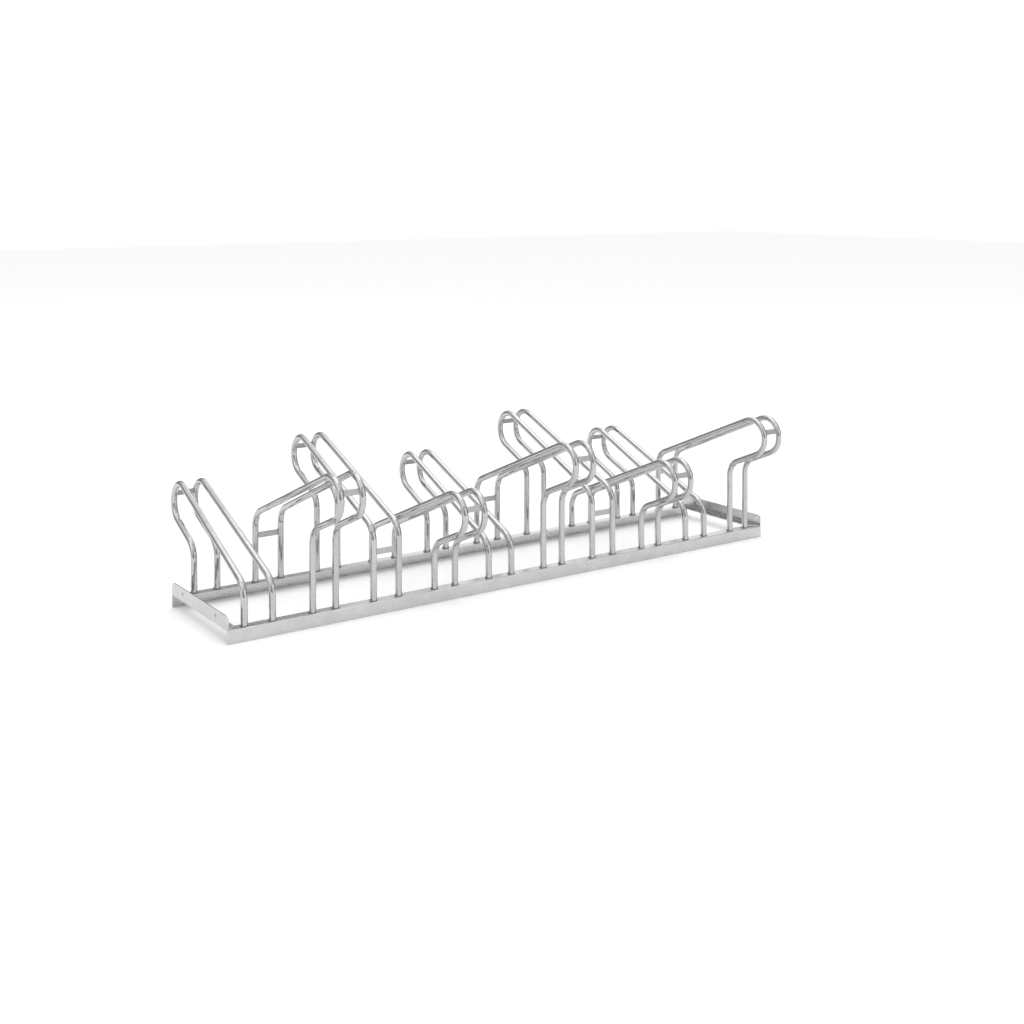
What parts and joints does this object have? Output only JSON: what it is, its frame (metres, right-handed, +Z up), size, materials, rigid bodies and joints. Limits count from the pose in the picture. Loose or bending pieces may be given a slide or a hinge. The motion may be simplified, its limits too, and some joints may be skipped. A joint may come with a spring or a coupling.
{
  "type": "floor bike rack",
  "caption": "Low two-sided floor rack of galvanised steel: bent tube stands, high and low in turn, lean out over either rail of an angle frame and each hold a front wheel.",
  "frame": {"origin": "on the floor, below the middle of the base frame", "axes": "+X along the rails, from the end whose first stand is low; +Y across the rack, from the front rail to the rear rail; +Z up"},
  "size_m": [1.745, 0.6292, 0.3896],
  "materials": {
    "rail_zinc": "matt hot-dip galvanised, softly mottled light grey",
    "tube_zinc": "smooth hot-dip galvanised, light grey with a soft shine",
    "strip_zinc": "hot-dip galvanised, light grey",
    "weld_zinc": "weld beads round the feet, rough and darker than the tubes",
    "seam_zinc": "weld beads along the mitres, ground low, rough and light under the zinc"
  },
  "bodies": {
    "root": {"rail_front": "rail_zinc", "rail_rear": "rail_zinc", "end_bar_left": "rail_zinc", "end_bar_right": "rail_zinc", "hoop_01_left": "tube_zinc", "hoop_01_right": "tube_zinc", "head_strip_01": "strip_zinc", "hoop_02_left": "tube_zinc", "hoop_02_right": "tube_zinc", "head_strip_02": "strip_zinc", "brace_strip_02": "strip_zinc", "hoop_03_left": "tube_zinc", "hoop_03_right": "tube_zinc", "head_strip_03": "strip_zinc", "brace_strip_03": "strip_zinc", "hoop_04_left": "tube_zinc", "hoop_04_right": "tube_zinc", "head_strip_04": "strip_zinc", "hoop_05_left": "tube_zinc", "hoop_05_right": "tube_zinc", "head_strip_05": "strip_zinc", "hoop_06_left": "tube_zinc", "hoop_06_right": "tube_zinc", "head_strip_06": "strip_zinc", "brace_strip_06": "strip_zinc", "hoop_07_left": "tube_zinc", "hoop_07_right": "tube_zinc", "head_strip_07": "strip_zinc", "brace_strip_07": "strip_zinc", "hoop_08_left": "tube_zinc", "hoop_08_right": "tube_zinc", "head_strip_08": "strip_zinc", "hoop_09_left": "tube_zinc", "hoop_09_right": "tube_zinc", "head_strip_09": "strip_zinc", "hoop_10_left": "tube_zinc", "hoop_10_right": "tube_zinc", "head_strip_10": "strip_zinc", "brace_strip_10": "strip_zinc", "foot_welds_front": "weld_zinc", "foot_welds_rear": "weld_zinc", "corner_welds": "seam_zinc"}
  },
  "joints": []
}
